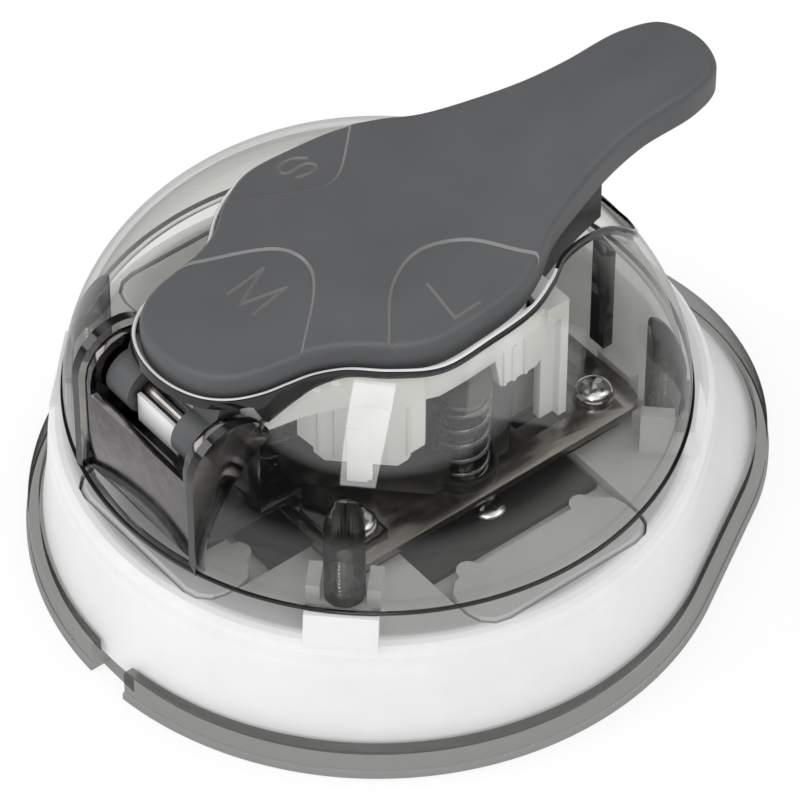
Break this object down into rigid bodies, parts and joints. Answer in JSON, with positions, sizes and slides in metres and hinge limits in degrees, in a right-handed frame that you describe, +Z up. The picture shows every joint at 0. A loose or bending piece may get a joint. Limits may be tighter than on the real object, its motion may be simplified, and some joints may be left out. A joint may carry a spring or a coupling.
{
  "type": "corner rounder",
  "caption": "Desk corner rounder: a grey lever under a smoke-clear dome presses punches with small, medium and large radii onto card corners slid in on three sides.",
  "frame": {"origin": "on the dome's axis, on the flat underside of the scrap tray", "axes": "+Z up; +Y towards the tip of the handle, the long way of the object; +X towards the side with the large radius"},
  "size_m": [0.1, 0.1112, 0.0595],
  "materials": {
    "white_plastic": "white moulded plastic with a soft gloss",
    "grey_plastic": "mid-grey moulded plastic, fine matt grain",
    "black_plastic": "black moulded plastic, satin",
    "smoke_plastic": "smoke-grey transparent plastic, polished",
    "polished_steel": "bright sheet steel",
    "blade_steel": "ground tool steel",
    "spring_steel": "bright spring wire",
    "zinc_screw": "zinc-plated steel"
  },
  "bodies": {
    "housing": {"base_housing": "white_plastic", "dome_cover": "smoke_plastic", "die_chassis": "black_plastic", "card_guide_plate": "black_plastic", "guide_block": "black_plastic", "top_plate": "polished_steel", "hinge_bracket": "polished_steel", "hinge_pin": "polished_steel", "card_table_l": "white_plastic", "die_l": "blade_steel", "guide_post_l": "polished_steel", "return_spring_l": "spring_steel", "chassis_screw_l": "zinc_screw", "card_table_m": "white_plastic", "die_m": "blade_steel", "guide_post_m": "polished_steel", "return_spring_m": "spring_steel", "chassis_screw_m": "zinc_screw", "card_table_s": "white_plastic", "die_s": "blade_steel", "guide_post_s": "polished_steel", "return_spring_s": "spring_steel", "chassis_screw_s": "zinc_screw", "plate_screw_1": "zinc_screw", "dome_screw_1": "zinc_screw", "plate_screw_2": "zinc_screw", "dome_screw_2": "zinc_screw", "plate_screw_3": "zinc_screw", "dome_screw_3": "zinc_screw", "plate_screw_4": "zinc_screw", "dome_screw_4": "zinc_screw"},
    "lever": {"lever_cover": "grey_plastic", "lever_body": "white_plastic", "lever_screw_1": "zinc_screw", "lever_screw_2": "zinc_screw"},
    "tray": {"scrap_tray": "smoke_plastic"},
    "punch_unit_l": {"punch_l": "blade_steel", "punch_carrier_l": "black_plastic"},
    "punch_unit_m": {"punch_m": "blade_steel", "punch_carrier_m": "black_plastic"},
    "punch_unit_s": {"punch_s": "blade_steel", "punch_carrier_s": "black_plastic"}
  },
  "joints": [
    {"name": "lever_hinge", "type": "hinge", "parent": "housing", "child": "lever", "pos_m": [0, -0.0354, 0.044], "axis": [-1, 0, 0], "range_deg": [0, 8.5], "stiffness_Nm_per_rad": 1.2, "springref_deg": -6.3},
    {"name": "punch_slide_l", "type": "slide", "parent": "housing", "child": "punch_unit_l", "axis": [0, 0, -1], "range_m": [0, 0.0053], "deforming": ["return_spring_l"]},
    {"name": "punch_slide_m", "type": "slide", "parent": "housing", "child": "punch_unit_m", "axis": [0, 0, -1], "range_m": [0, 0.0035], "deforming": ["return_spring_m"]},
    {"name": "punch_slide_s", "type": "slide", "parent": "housing", "child": "punch_unit_s", "axis": [0, 0, -1], "range_m": [0, 0.0053], "deforming": ["return_spring_s"]},
    {"name": "tray_release", "type": "slide", "parent": "housing", "child": "tray", "axis": [0, 0, -1], "range_m": [0, 0.012]}
  ],
  "couplings": [
    {"joint": "punch_slide_l", "follows": "lever_hinge", "m_per_rad": 0.0354},
    {"joint": "punch_slide_m", "follows": "lever_hinge", "m_per_rad": 0.0234},
    {"joint": "punch_slide_s", "follows": "lever_hinge", "m_per_rad": 0.0354}
  ]
}
